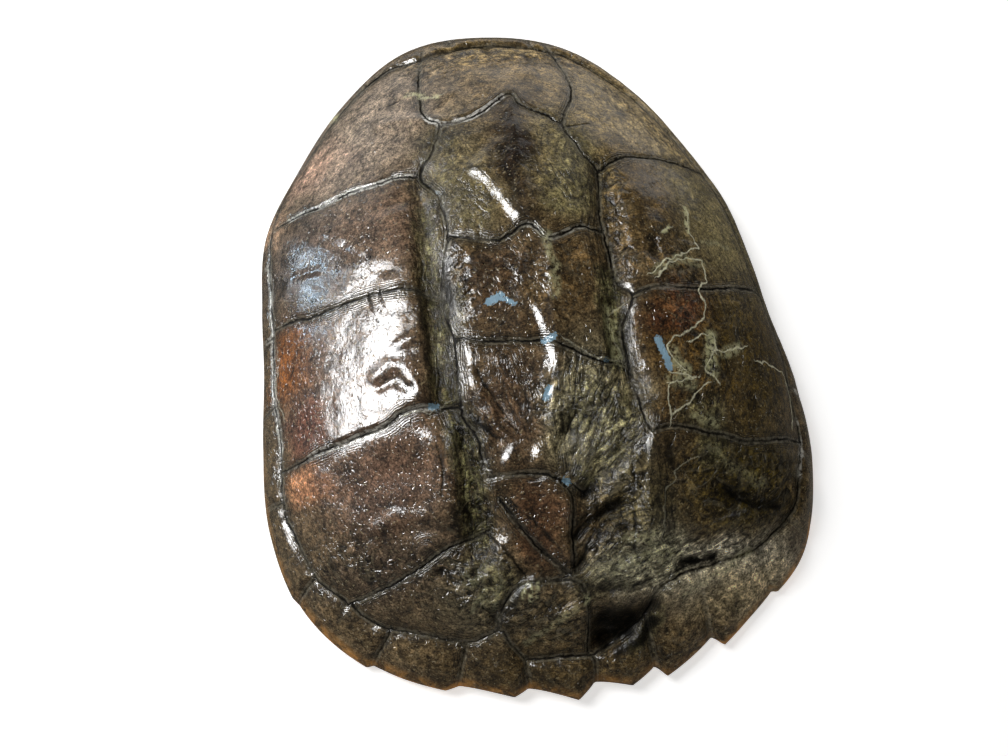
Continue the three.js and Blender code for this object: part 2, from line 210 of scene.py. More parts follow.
# Scarps: height, half width of the wall, length of the slope behind it, plan points. The
# high side is on the left of the direction of travel.
SCARPS = (
    (2.6, 2.2, 14, ((-50, -42), (-50, -29), (-50, -13), (-49, 4), (-51, 12), (-49, 31),
                    (-50, 52))),
    (2.4, 1.8, 9, ((-45, 62), (-43, 50), (-42, 38), (-41, 24), (-41, 14))),
    (0.9, 3.0, 9, ((-38, 14), (-37, 10), (-38, 2), (-37, -10))),
    (3.4, 4.0, 12, ((-12, -108), (-20, -116), (-26, -123))),
    (2.4, 2.4, 6, ((-17, -57), (-22, -62), (-26, -70))),
    (2.2, 2.0, 5, ((-7, -59), (-11, -63), (-14, -71))),
    (2.8, 1.8, 9, ((-37, -6), (-36, -17), (-35, -30), (-35, -42))),
    (2.2, 2.0, 12, ((-43, -96), (-44, -77), (-43, -62), (-42, -46))),
    (1.6, 2.0, 9, ((-36, -43), (-32, -57), (-31, -67), (-31, -79))),
    (3.0, 2.2, 11, ((-26, 63), (-17, 53), (-11, 41), (-5, 28))),
    (1.7, 1.6, 8, ((-7, -2), (-5, -8), (-2, -19), (0, -30), (0, -40))),
    (2.0, 2.0, 14, ((1, -112), (0, -97), (1, -91), (2, -83), (-4, -74), (-12, -72))),
    (1.4, 1.3, 7, ((-27, -79), (-15, -97), (-1, -112))),
    (1.2, 1.1, 3, ((-24, -79), (-12, -93), (1, -109))),
    (1.6, 3.0, 12, ((-20, -110), (-25, -103), (-33, -92), (-43, -95), (-54, -99))),
    (3.4, 2.8, 14, ((7, -145), (8, -134), (7, -123), (3, -116), (-9, -114), (-21, -112),
                    (-27, -121), (-32, -131), (-30, -142))),
    (1.2, 2.6, 12, ((36, 4), (34, -8), (31, -20), (31, -36), (33, -52))),
    (2.6, 2.0, 8, ((38, -57), (35, -68), (33, -77), (31, -90), (30, -104))),
    (1.5, 1.2, 8, ((39, -104), (41, -91), (41, -79))),
    (1.6, 1.4, 10, ((110, 8), (69, 0), (45, -1), (37, -4))),
    (1.2, 1.2, 8, ((114, -64), (81, -64), (52, -58), (40, -60))),
    (1.8, 1.4, 7, ((-112, -51), (-93, -46), (-70, -43), (-60, -39), (-48, -38))),
    (1.2, 1.2, 7, ((-112, 17), (-96, 13), (-69, 12), (-54, 10))),
    (1.4, 1.2, 7, ((-100, 66), (-80, 65), (-56, 65))),
    (1.6, 1.6, 7, ((-30, 89), (-18, 91), (0, 101), (5, 94), (20, 83))),
    (1.0, 1.0, 5, ((-36, 31), (-15, 26), (-3, 31))),
    (1.2, 1.0, 5, ((-36, -14), (-25, -17), (-4, -19))),
)

# Sunk places: depth, width of the wall, plan outline.
SUNK = (
    (7.5, 7, ((7, -124), (20, -127), (34, -127), (40, -126), (35, -133), (29, -140), (17, -146),
              (8, -145))),
    (2.6, 3, ((22, -4), (30, -5), (31, -30), (23, -31))),
)

# Fine pale cracks, and creases darkened with painted shade, in plan.
CRACKS = (
    ((71, 38), (70, 26), (73, 19), (62, 14), (54, 11), (45, 4)),
    ((48, 3), (55, 10), (62, 12), (73, 13), (73, 4), (68, -1), (69, -8), (67, -16), (59, -21),
     (51, -23), (47, -28), (50, -33), (55, -37)),
    ((57, -25), (63, -23), (71, -21), (71, -27), (68, -30), (64, -37), (70, -42)),
    ((69, -28), (74, -30), (88, -25)),
    ((47, -38), (60, -40), (48, -42), (46, -42), (45, -48), (45, -58)),
    ((65, -43), (56, -49), (46, -54)),
    ((57, -72), (49, -74), (46, -76), (47, -80), (41, -83), (39, -101)),
    ((55, 24), (60, 27)),
    ((93, -31), (112, -34), (115, -45), (112, -60)),
    ((-44, 113), (-36, 108), (-32, 106), (-27, 108)),
    ((25, -12), (34, -7)),
    ((25, -15), (30, -31)),
    ((-117, 7), (-117, -3), (-119, -12), (-116, -27)),
    ((16, -71), (24, -67), (32, -62)),
    ((-42, -38), (-52, -42), (-62, -41)),
    ((4, -20), (17, -28), (30, -31)),
)
CREASES = (
    ((-52, 110), (-45, 112)),
    ((23, 80), (34, 82)),
    ((-36, -44), (-31, -51), (-26, -56)),
    ((-31, -30), (-26, -39), (-22, -47)),
    ((-2, -63), (3, -55), (7, -50)),
    ((15, -73), (24, -70), (32, -65)),
    ((2, -97), (9, -91), (24, -85)),
    ((2, -109), (15, -92), (26, -89)),
    ((16, -121), (34, -119), (53, -114)),
    ((-27, -79), (-15, -97), (-1, -112)),
    ((-24, -79), (-12, -93), (1, -109)),
    ((-33, -92), (-25, -103), (-20, -110)),
    ((70, -85), (84, -93), (100, -93)),
    ((41, -82), (41, -91), (39, -103)),
    ((28, -76), (28, -90), (27, -104)),
    ((-50, -56), (-49, -66), (-51, -74)),
    ((-71, 11), (-70, 4)),
    ((-66, 11), (-65, 5)),
    ((49, -112), (58, -113), (66, -112)),
)

# Green growth in the troughs: half width, strength, plan points.
MOSS = (
    (6, 0.9, ((-43, 45), (-44, 12), (-43, -6), (-44, -22), (-44, -38))),
    (7, 1.0, ((-40, -48), (-38, -66), (-38, -82), (-37, -92))),
    (6, 1.0, ((27, 4), (27, -30))), (4, 0.6, ((-36, 6), (-36, -8))),
    (13, 0.7, ((12, -48), (24, -52), (22, -62))),
    (7, 0.7, ((56, -53), (66, -54), (64, -70))),
    (6, 0.6, ((10, 40), (22, 38), (24, 50))),
    (9, 0.5, ((-24, 38), (-26, 52))),
    (9, 0.6, ((8, -116), (22, -112), (40, -108))),
    (9, 0.5, ((-38, -104), (-30, -112))),
    (3, 0.9, ((69, -22), (68, -38))),
    (4, 0.8, ((8, -73), (10, -76))), (5, 0.7, ((28, -145), (38, -134))),
    (8, 0.5, ((12, 46), (22, 60), (24, 74))), (10, 0.5, ((-34, 40), (-38, 60), (-36, 78))),
)

# Painted shade, near black, in the deepest places, hollows and grooves: half width, strength, plan
# points.
SHADE_PATCHES = (
    (6, 1.0, ((13, -133), (27, -134))), (5, 1.0, ((12, -140), (25, -139))),
    (3.2, 0.85, ((28, -131), (37, -129))), (2.8, 1.0, ((7, -82), (11, -80))),
    (1.3, 0.8, ((-59, 139), (-38, 141), (-12, 147), (14, 146), (38, 138), (62, 118))),
    (1.6, 0.7, ((-3, 146), (-2, 137))), (2.6, 0.85, ((70, -85), (84, -92), (98, -92))),
    (2.8, 0.95, ((20, -148), (29, -145), (37, -136))), (1.5, 0.8, ((42, -64), (45, -74))),
    (2.2, 0.7, ((10, -118), (28, -121))),
    (1.6, 1.0, ((50, -112), (58, -113), (65, -112))), (1.5, 0.9, ((3, -97), (10, -91), (22, -86))),
    (1.4, 0.9, ((4, -107), (14, -94), (22, -90))), (1.4, 0.8, ((18, -121), (34, -119))),
    (1.6, 0.8, ((-38, 20), (-39, 0))), (1.5, 0.7, ((33, -10), (31, -34))),
    (1.4, 0.8, ((-35, -46), (-30, -54))), (1.6, 0.8, ((-1, -56), (3, -54))),
    (1.8, 0.8, ((50, 14), (50, 19))), (1.3, 0.7, ((-50, -60), (-49, -68))),
    (1.2, 0.7, ((70, -85), (84, -93), (98, -93))), (1.5, 0.8, ((-22, -113), (-30, -128))),
    (1.6, 0.8, ((-46, -80), (-45, -92))), (1.4, 0.7, ((-50, 8), (-49, -30))),
)

# Crumpled, flaking horn: half width, strength, plan points.
CRUMPLED = (
    (24, 0.30, ((-16, 10), (10, 10))), (16, 0.75, ((4, -42), (14, -40), (18, -58))),
    (4, 0.9, ((-33, 22), (-32, 2))),
    (14, 0.9, ((24, -66), (20, -100), (40, -110))), (22, 0.55, ((60, -80), (96, -86))),
    (18, 0.8, ((-40, -104), (-30, -118))), (16, 0.7, ((-14, -128), (-4, -132))),
    (12, 0.6, ((40, -114), (80, -108))), (12, 0.25, ((-112, -104), (-60, -142), (0, -156))),
    (12, 0.35, ((10, -156), (60, -142), (104, -114))), (20, 0.45, ((58, 10), (62, -44))),
    (14, 0.45, ((-100, -90), (-64, -106))), (9, 0.7, ((-38, -50), (-38, -96))),
    (14, 0.3, ((-24, 62), (24, 50))), (12, 0.35, ((86, 0), (96, -50))),
    (7, 0.8, ((37, 52), (35, 8))), (14, 0.55, ((-34, 132), (30, 134))),
    (12, 0.3, ((-90, 96), (-52, 118))), (12, 0.4, ((60, 100), (84, 74))),
)

# Fibres and wrinkles that follow a line: half width, strength, plan points.
STRANDS = (
    (7, 0.7, ((-43, 62), (-44, 30), (-44, 12), (-43, -6), (-44, -22), (-44, -38))),
    (8, 1.0, ((-42, -42), (-38, -60), (-37, -82), (-38, -98))),
    (5, 0.6, ((-37, 20), (-36, -10), (-35, -30), (-36, -45))),
    (7, 0.9, ((33, 60), (28, 30), (27, 0), (27, -30), (31, -50))),
    (9, 0.8, ((-32, -40), (-26, -52), (-14, -68))), (7, 0.8, ((-20, -26), (-12, -50), (-4, -70))),
    (8, 1.0, ((0, -72), (2, -56), (4, -40), (6, -28))),
    (9, 1.0, ((4, -74), (12, -58), (20, -44), (27, -34))),
    (9, 1.0, ((6, -78), (20, -66), (34, -54))), (7, 1.0, ((3, -98), (12, -90), (28, -82))),
    (8, 1.0, ((4, -110), (16, -98), (28, -94), (38, -98))),
    (8, 0.9, ((34, -62), (38, -80), (36, -100))),
    (9, 0.9, ((12, -119), (34, -112), (56, -107), (84, -98), (104, -90))),
    (8, 0.8, ((60, -92), (84, -88), (104, -78))),
    (8, 0.7, ((-60, -96), (-40, -106), (-24, -112))), (6, 0.8, ((-36, -128), (-24, -120))),
    (6, 0.7, ((-24, -142), (-10, -128), (2, -120))),
    (8, 0.6, ((22, 84), (14, 66), (20, 44))), (8, 0.6, ((-30, 84), (-24, 64), (-16, 44))),
    (7, 0.7, ((54, 26), (62, 12), (72, 4), (76, -12))), (8, 0.8, ((58, -20), (70, -32), (64, -50))),
    (8, 0.5, ((100, 30), (104, 0), (104, -40))),
)

# Places that keep their full gloss: half width, strength, plan points.
SHINE = (
    (4, 1.0, ((-36, -10), (-35, -40))), (6, 1.0, ((-25, -60), (-21, -70))),
    (5, 1.0, ((-14, -60), (-11, -70))), (6, 1.0, ((-26, -118), (-20, -113), (-10, -114))),
    (4.5, 1.0, ((36, -58), (33, -78))), (5, 1.0, ((-3, -10), (0, -40))),
    (9, 0.9, ((-102, 40), (-90, 37))), (5, 0.9, ((-40, 50), (-39, 22))),
    (8, 0.8, ((-24, 60), (-6, 30))),
)

# Seams with pale lips, partly worn and partly a painted white highlight: half width, strength, plan
# points.
WEAR_AND_GLINT_PATCHES = (
    (3.5, 1.0, ((-37, 90), (-18, 92), (-4, 99))),
    (3.0, 0.9, ((-104, 67), (-80, 66), (-50, 66))),
    (3.0, 0.9, ((-58, 99), (-45, 96), (-34, 90))),
    (3.5, 0.5, ((-104, -49), (-70, -43), (-50, -39))),
    (3.0, 0.3, ((-3, 30), (5, 23), (19, 27))), (3.0, 0.3, ((-39, 40), (-36, 20))),
    (2.6, 0.6, ((-119, 50), (-121, 10), (-120, -40))),
    (2.6, 0.8, ((121, -36), (121, -60), (117, -78))),
)

# Pale, yellow-green scale: half width, strength, plan points.
PALE = (
    (1.3, 1.0, ((71, 38), (70, 26))), (1.0, 1.0, ((55, 24), (60, 27))),
    (1.2, 0.35, ((76, 23), (92, 25))), (3.2, 0.75, ((69, -22), (67, -30), (69, -38))),
    (2.4, 0.6, ((50, -28), (50, -33), (55, -38))), (2.2, 0.5, ((74, -30), (84, -26))),
    (2.0, 0.45, ((5, 24), (5, 12), (4, -2))), (2.6, 0.5, ((25, -9), (27, -29))),
    (1.2, 0.9, ((-44, 113), (-36, 108), (-30, 107))), (2.4, 0.5, ((47, -40), (58, -42))),
    (2.4, 0.4, ((48, 6), (60, 13), (72, 12))), (2.6, 0.5, ((58, -56), (66, -58))),
    (2.2, 0.25, ((-44, -110), (-36, -104), (-30, -112))), (1.6, 0.35, ((-20, -137), (0, -127))),
    (1.0, 0.9, ((-22, -114), (-22, -119))), (0.9, 0.9, ((-19, -114), (-18, -121))),
    (0.8, 0.8, ((-15, -115), (-15, -120))), (1.0, 1.0, ((5.5, -123), (6.5, -123))),
    (1.5, 0.3, ((-40, -118), (-34, -121), (-32, -116), (-38, -114), (-43, -121))),
    (2.2, 0.35, ((20, -112), (34, -108), (52, -110))),
    (2.6, 0.3, ((50, -126), (64, -120), (84, -112))),
    (2.2, 0.2, ((64, -68), (74, -78), (90, -84))), (2.4, 0.4, ((24, -100), (34, -102))),
    (2.0, 1.0, ((-83, 124), (-80, 124))),
)

# Painted reflections of the blue sky, as small flecks on the horn: half width and plan points.
SKY_REFLECTIONS = (
    (1.6, ((-23, -1.5), (-18, 0.5))), (1.0, ((-18, -0.5), (-13, -3.5))),
    (1.3, ((-3, -20.5), (1, -19.5))), (1.4, ((-5, -43), (-3.5, -39.5))),
    (1.2, ((-51, -39.5), (-48.5, -39.5))), (1.5, ((44, -24), (46, -30), (47.5, -36))),
    (1.2, ((-0.5, -75), (1, -76))), (0.8, ((21, -30), (23, -30))),
)

# Tints of the horn: plan middle, half sizes, colour (linear), share at the middle.
TINTS = (
    ((0, 124), (46, 32), (0.23, 0.155, 0.065), 0.95),
    ((0, 140), (40, 9), (0.34, 0.24, 0.09), 0.7),
    ((-72, 105), (48, 44), (0.33, 0.25, 0.18), 0.9),
    ((-92, 92), (16, 14), (0.58, 0.36, 0.25), 0.8),
    ((70, 100), (44, 44), (0.38, 0.275, 0.115), 0.9),
    ((-24, 58), (18, 32), (0.20, 0.155, 0.070), 0.9),
    ((20, 58), (18, 32), (0.25, 0.20, 0.085), 0.9),
    ((-2, 68), (9, 38), (0.016, 0.008, 0.003), 1.0),
    ((-98, 42), (26, 30), (0.105, 0.075, 0.058), 0.9),
    ((-66, 42), (22, 26), (0.17, 0.105, 0.066), 0.9),
    ((56, 38), (24, 34), (0.10, 0.062, 0.020), 0.9),
    ((92, 36), (24, 40), (0.28, 0.225, 0.085), 0.9),
    ((-20, 6), (20, 26), (0.064, 0.036, 0.016), 0.95),
    ((12, 6), (16, 26), (0.105, 0.064, 0.024), 0.95),
    ((-84, -18), (34, 34), (0.14, 0.085, 0.055), 0.9),
    ((-108, -4), (12, 16), (0.24, 0.072, 0.006), 0.95),
    ((-106, -36), (12, 13), (0.18, 0.06, 0.035), 0.8),
    ((54, -30), (22, 34), (0.10, 0.056, 0.015), 0.95),
    ((57, -12), (14, 9), (0.14, 0.046, 0.018), 0.8),
    ((94, -30), (26, 36), (0.066, 0.040, 0.001), 0.95),
    ((-16, -44), (20, 24), (0.115, 0.068, 0.036), 0.95),
    ((14, -54), (20, 26), (0.38, 0.34, 0.20), 0.95),
    ((-104, -60), (11, 9), (0.66, 0.29, 0.125), 0.95),
    ((-72, -66), (34, 26), (0.155, 0.085, 0.053), 0.9),
    ((-70, -100), (40, 18), (0.080, 0.054, 0.034), 0.95),
    ((-12, -92), (15, 20), (0.115, 0.056, 0.026), 0.95),
    ((-36, -118), (24, 18), (0.12, 0.098, 0.055), 0.9),
    ((-12, -130), (20, 16), (0.11, 0.080, 0.038), 0.95),
    ((82, -84), (36, 26), (0.042, 0.029, 0.001), 0.95),
    ((30, -94), (16, 22), (0.085, 0.070, 0.030), 0.9),
    ((62, -117), (42, 12), (0.68, 0.63, 0.48), 0.95),
    ((34, -112), (22, 12), (0.78, 0.74, 0.50), 0.8),
    ((-115, 73), (6, 13), (0.80, 0.50, 0.30), 0.9),
    ((0, -156), (70, 14), (0.075, 0.049, 0.017), 0.9),
    ((74, -128), (36, 14), (0.42, 0.33, 0.18), 0.8),
)

# ---- Finish colours, linear --------------------------------------------------------------
MOSS_DARK = (0.030, 0.028, 0.010)
MOSS_PALE = (0.20, 0.185, 0.085)
GOLD_FLECK = (0.80, 0.64, 0.34)
FLAKE_SHADE = (0.010, 0.009, 0.006)
FLAKE_EDGE_LIGHT = (0.30, 0.26, 0.16)
SEAM_SHADE = (0.014, 0.012, 0.007)
SEAM_DIRT = (0.006, 0.005, 0.003)
LIP_HORN = (0.40, 0.37, 0.27)
LIP_WEAR_AND_GLINT = (0.95, 0.93, 0.86)
CREASE_SHADE = (0.008, 0.007, 0.005)
CRACK_EDGE = (0.96, 0.92, 0.66)
PALE_SCALE = (0.80, 0.78, 0.44)
THIN_AMBER = (0.74, 0.33, 0.06)
SKY_REFLECTION_BLUE = (0.33, 0.52, 0.66)
PAINTED_SHADE_BLACK = (0.003, 0.003, 0.002)

# Noises of the horn: scale per metre, detail, roughness, stretch and distortion.
NOISES = {
    "cloud": (110, 6.0, 0.65, None, 0.6),
    "mottle": (430, 5.0, 0.7, None, 0.3),
    "fine": (1150, 3.0, 0.7, None, 0.0),
    "gold": (760, 2.0, 0.5, None, 0.0),
    "fiber": (420, 4.0, 0.65, (1.0, 0.25, 1.0), 0.0),
    "knots": (215, 3.0, 0.55, None, 0.9),
    "wide": (58, 3.0, 0.5, (1, 0.8, 1), 0.9),
    "ground": (120, 3.0, 0.5, None, 0.0),
    "pits": (560, 1.0, 0.5, (1.0, 0.55, 1.0), 0.0),
}
FLAKE_BANDS = 6.0                # how many flakes lie across one swing of the wide noise
RING_PITCH, RING_SWAY = 6.5, 14.0    # growth rings: radians per millimetre, and their waver

# ---- Studio, in metres and degrees -------------------------------------------------------
FLOOR_HALF = 4.0
FLOOR_COLOR = (0.9, 0.9, 0.9, 1)
ROOM_COLOR = (1, 0.93, 0.80, 1)
LEAN_BACK, LEAN_LEFT, ROLL = 12.0, 5.0, 7.5
AIM = (-0.01215, -0.0095, 0.0)
SENSOR_WIDTH = 36.0              # millimetres

# Lights: name, place, target, width and height, colour, and what each is left out of.
WHITE = (1.0, 1.0, 1.0)
LIGHTS = (
    ("window", (-0.923, 0.150, 0.580), (-0.07, 0, 0.08), (0.50, 0.82), WHITE, "visible_diffuse"),
    ("pane", (-0.62, 0.29, -0.10), (-0.10, 0.034, 0.055), (0.06, 0.035), (0.62, 0.82, 1.0), None),
    ("front", (0.15, 2.0, -0.35), (0, 0, 0.06), (4.4, 1.5), WHITE, None),
    ("soft", (-0.8, 0.6, 1.45), (0, 0, 0.05), (0.6, 0.6), WHITE, "visible_glossy"),
)


class CarapaceSettings(bpy.types.PropertyGroup):
    outer_cells: bpy.props.IntProperty(
        name="Outer cells", description="Grid cells across the outer face", default=282)
    inner_cells: bpy.props.IntProperty(
        name="Inner cells", description="Grid cells across the inner face", default=110)
    horn_color: bpy.props.FloatVectorProperty(
        name="Horn", description="Main colour of the horn scutes", subtype="COLOR", size=3,
        default=(0.125, 0.085, 0.040), min=0.0, max=1.0)
    bone_color: bpy.props.FloatVectorProperty(
        name="Bone", description="Colour of the bare bone inside", subtype="COLOR", size=3,
        default=(0.42, 0.32, 0.20), min=0.0, max=1.0)
    lacquer_roughness: bpy.props.FloatProperty(
        name="Lacquer roughness", description="Roughness of the clear coat", default=0.07,
        min=0.0, max=1.0)


class StudioSettings(bpy.types.PropertyGroup):
    window_power: bpy.props.FloatProperty(
        name="Window", description="Power of the tall window, low on the left", default=56.0,
        unit="POWER")
    pane_power: bpy.props.FloatProperty(
        name="Pane", description="Power of the small bluish pane low on the left",
        default=0.5, unit="POWER")
    front_power: bpy.props.FloatProperty(
        name="Front", description="Power of the broad panel beyond the head end", default=12.0,
        unit="POWER")
    soft_power: bpy.props.FloatProperty(
        name="Soft light", description="Power of the soft light overhead", default=18.0,
        unit="POWER")
    room_strength: bpy.props.FloatProperty(
        name="Room", description="Brightness of the room all round", default=0.075)
    floor_glow: bpy.props.FloatProperty(
        name="Floor glow", description="Light that the pale floor gives by itself", default=0.62)
    lens: bpy.props.FloatProperty(
        name="Lens", description="Focal length of the camera in millimetres", default=40.0)
    distance: bpy.props.FloatProperty(
        name="Distance", description="Camera distance from the point it looks at",
        default=0.545, unit="LENGTH")


# ---- Shape functions -----------------------------------------------------------------------
def smoothstep(low, high, value):
    t = np.clip((value - low) / (high - low), 0.0, 1.0)
    return t * t * (3.0 - 2.0 * t)


def around(values, degrees):
    """Catmull-Rom curve through values spaced evenly round a circle."""
    values = np.asarray(values, float)
    step = (degrees % 360.0) / (360.0 / len(values))
    index = np.floor(step).astype(int)
    f = step - index
    a, b, c, d = (values[(index + k) % len(values)] for k in (-1, 0, 1, 2))
    return 0.5 * (2 * b + (c - a) * f + (2 * a - 5 * b + 4 * c - d) * f ** 2
                  + (3 * b - a - 3 * c + d) * f ** 3)


def turn(a, b):
    """Angle from b to a, between -180 and 180 degrees."""
    return (a - b + 180.0) % 360.0 - 180.0


def tooth(degrees):
    """How far the saw teeth stand out from the plain rim."""
    degrees = degrees % 360.0
    out = np.zeros_like(degrees)
    for start, end, tip, height in TEETH:
        rise = np.clip((degrees - start) / (tip - start), 0, 1) ** TOOTH_RISE
        fall_off = np.clip((end - degrees) / (end - tip), 0, 1) ** TOOTH_DROP
        inside = (degrees >= start) & (degrees < end)
        out = np.where(inside, height * np.where(degrees < tip, rise, fall_off), out)
    return out


def reach(degrees, share):
    """Radius of the rim, as a place at a share of it sees it: teeth only draw out the end."""
    return around(RIM_RADIUS, degrees) + tooth(degrees) * smoothstep(TOOTH_ROOT, 1.0, share)


def rim_lift(degrees):
    """Height of the foot of the rim above the surface that the shell rests on."""
    arches = sum(height * np.exp(-(turn(degrees, middle) / width) ** 2)
                 for height, middle, width in ARCHES)
    return np.maximum(0.0, arches - ARCH_TRIM)


def end_shares(degrees):
    """How much each place belongs to the side, the front and the rear."""
    s = np.sin(np.radians(degrees))
    front = np.maximum(0, s) ** END_SHARPNESS
    rear = np.maximum(0, -s) ** END_SHARPNESS
    return 1 - front - rear, front, rear


def fall(rho, degrees):
    """Fall of the dome from 1 at the crown to 0 at the rim: blunt flanks, longer ends."""
    shares = end_shares(degrees)
    a, b, c = (sum(row[k] * share for row, share in zip(FALL, shares)) for k in range(3))
    end = (1 - c ** a) ** b
    return ((1 - (c * rho) ** a) ** b - end) / (1 - end)


def gutter(rho, degrees):
    """Depth of the shallow gutter inside the rear rim."""
    depth, middle, width = REAR_GUTTER
    return depth * end_shares(degrees)[2] * np.exp(-((rho - middle) / width) ** 2)


def line_distance(line, x, y):
    """Plan distance from each point to a polyline."""
    return side_distance(line, x, y)[0]


def side_distance(line, x, y):
    """Distance to a polyline, side (1 on the left of travel, -1 on the right), distance
    along it to the nearest place, and its length."""
    best = np.full(x.shape, 1e9)
    side = np.ones(x.shape)
    along = np.zeros(x.shape)
    length = 0.0
    for (ax, ay), (bx, by) in zip(line[:-1], line[1:]):
        ux, uy = bx - ax, by - ay
        px, py = x - ax, y - ay
        run = math.hypot(ux, uy)
        t = np.clip((px * ux + py * uy) / run ** 2, 0, 1)
        gap = np.hypot(px - t * ux, py - t * uy)
        near = gap < best
        best = np.where(near, gap, best)
        side = np.where(near, np.where(ux * py > uy * px, 1.0, -1.0), side)
        along = np.where(near, length + t * run, along)
        length += run
    return best, side, along, length


def nearest_side(lines, x, y):
    """Distance and signed distance to the nearest of many lines."""
    best = np.full(x.shape, 1e9)
    signed = np.full(x.shape, 1e9)
    for line in lines:
        gap, side, _, _ = side_distance(line, x, y)
        near = gap < best
        best = np.where(near, gap, best)
        signed = np.where(near, gap * side, signed)
    return best, signed


def inside_distance(outline, x, y):
    """Distance to a closed outline, positive inside it."""
    closed = list(outline) + [outline[0]]
    inside = np.zeros(x.shape, bool)
    for (ax, ay), (bx, by) in zip(closed[:-1], closed[1:]):
        crossed = (ay > y) != (by > y)
        at = ax + (y - ay) * (bx - ax) / ((by - ay) or 1e-9)
        inside ^= crossed & (x < at)
    return line_distance(closed, x, y) * np.where(inside, 1, -1)


def smooth_line(line, steps=5):
    """The same line with its corners rounded."""
    p = np.array((line[0],) + tuple(line) + (line[-1],), float)
    out = []
    for i in range(1, len(p) - 2):
        for t in np.linspace(0, 1, steps, endpoint=False):
            out.append(0.5 * (2 * p[i] + (p[i + 1] - p[i - 1]) * t
                              + (2 * p[i - 1] - 5 * p[i] + 4 * p[i + 1] - p[i + 2]) * t * t
                              + (3 * p[i] - p[i - 1] - 3 * p[i + 1] + p[i + 2]) * t ** 3))
    out.append(p[-2])
    return [tuple(q) for q in out]


def lumps(x, y, size, seed):
    """Smooth random field between -1 and 1 with features about size millimetres across."""
    table = np.random.RandomState(seed).uniform(-1, 1, (96, 96))
    u, v = x / size + 48, y / size + 48
    i, j = np.floor(u).astype(int), np.floor(v).astype(int)
    fu, fv = u - i, v - j
    fu, fv = fu * fu * (3 - 2 * fu), fv * fv * (3 - 2 * fv)
    i, j = i % 95, j % 95
    low = table[i, j] * (1 - fu) + table[i + 1, j] * fu
    high = table[i, j + 1] * (1 - fu) + table[i + 1, j + 1] * fu
    return low * (1 - fv) + high * fv


def relief(x, y):
    """Height that the ridges and grooves add."""
    out = np.zeros_like(x)
    for height, width, crisp, line in RELIEF:
        d = line_distance(line, x, y)
        out += height * (np.exp(-d / width) if crisp else np.exp(-(d / width) ** 2))
    return out


def scarps(x, y):
    """Height that the scarps add, each with a slope running out behind it."""
    out = np.zeros_like(x)
    for height, width, back, line in SCARPS:
        gap, side, along, length = side_distance(smooth_line(line), x, y)
        signed = gap * side
        taper = min(7.0, length / 3)
        ends = smoothstep(0, taper, along) * smoothstep(0, taper, length - along)
        wall = smoothstep(-width, width, signed)
        out += height * ends * wall * np.exp(-np.maximum(signed, 0) / back)
    return out


def sunk(x, y):
    """Height that the sunk places take away."""
    out = np.zeros_like(x)
    for depth, width, outline in SUNK:
        out -= depth * smoothstep(-width / 2, width, inside_distance(outline, x, y))
    return out


def crumpling(x, y):
    """How crumpled and flaking the horn is at each place, from 0 to 1."""
    out = np.zeros_like(x)
    for width, strength, line in CRUMPLED:
        out = np.maximum(out, strength * np.exp(-(line_distance(line, x, y) / width) ** 2))
    return out


def folds(x, y):
    """Sharp creases where a random field crosses zero, with puffed horn between them."""
    wide = np.abs(lumps(x + 2 * lumps(x, y, 7, 43), y, 9, 41))
    small = np.abs(lumps(x, y + 1.5 * lumps(x, y, 5, 44), 5, 42))
    return 1.5 * np.minimum(wide / 0.35, 1) + 0.8 * np.minimum(small / 0.4, 1) - 1.6


def strand_places(x, y):
    """For each place: how strongly strands cover it, and its place across and along them."""
    mask = np.zeros_like(x)
    best = np.full(x.shape, 1e9)
    across, run = np.zeros_like(x), np.zeros_like(x)
    wx, wy = x + 1.2 * lumps(x, y, 7, 51), y + 1.2 * lumps(x, y, 7, 52)
    for width, strength, line in STRANDS:
        gap, _, along, _ = side_distance(smooth_line(line), wx, wy)
        mask = np.maximum(mask, strength * np.exp(-(gap / width) ** 4))
        near = gap < best
        best = np.where(near, gap, best)
        across, run = np.where(near, gap, across), np.where(near, along, run)
    return mask, across, run


def swayed(x, y):
    """Places moved a little, so that lines drawn through them waver."""
    return (x + 0.7 * lumps(x, y, 9, 3) + 0.3 * lumps(x, y, 3, 4),
            y + 0.7 * lumps(x, y, 9, 5) + 0.3 * lumps(x, y, 3, 6))


def seam_distance(x, y):
    """Distance and signed distance to the nearest seam."""
    lines = [smooth_line(line) for line in (MARGINAL_RING,) + SCUTE_SEAMS] + list(MARGINAL_SEAMS)
    return nearest_side(lines, *swayed(x, y))


def deep_seam(x, y):
    """How deep and dark the seams are: less between the marginals, and least on the right."""
    gap, side, _, _ = side_distance(MARGINAL_RING, x, y)
    return 1 - smoothstep(0, 3, gap * side) * np.where(x > 40, 0.85, 0.35)


def outer_height(x, y, rho, degrees, seam):
    """Height of the outer face, worn, folded and swollen between its seams."""
    foot = rim_lift(degrees) + EDGE_THICKNESS
    calm = smoothstep(0.0, 0.06, 1 - rho)
    gap, side, _, _ = side_distance(MARGINAL_RING, x, y)
    domed = 1 + MARGINAL_SWELL * smoothstep(0, SWELL_REACH, gap * side)
    swell = (SCUTE_SWELL * domed * (1 - np.exp(-seam / SWELL_REACH))
             - SEAM_DEPTH * deep_seam(x, y) * np.exp(-(seam / SEAM_WIDTH) ** 2))
    rough = sum(height * lumps(x, y, size, seed) for height, size, seed in WAVES)
    rough = rough + crumpling(x, y) * folds(x, y)
    shape = relief(x, y) + scarps(x, y) + sunk(x, y) + swell + rough - SETTLE
    return (foot + (DOME_HEIGHT - foot) * fall(rho, degrees) - gutter(rho, degrees)
            + calm * shape)


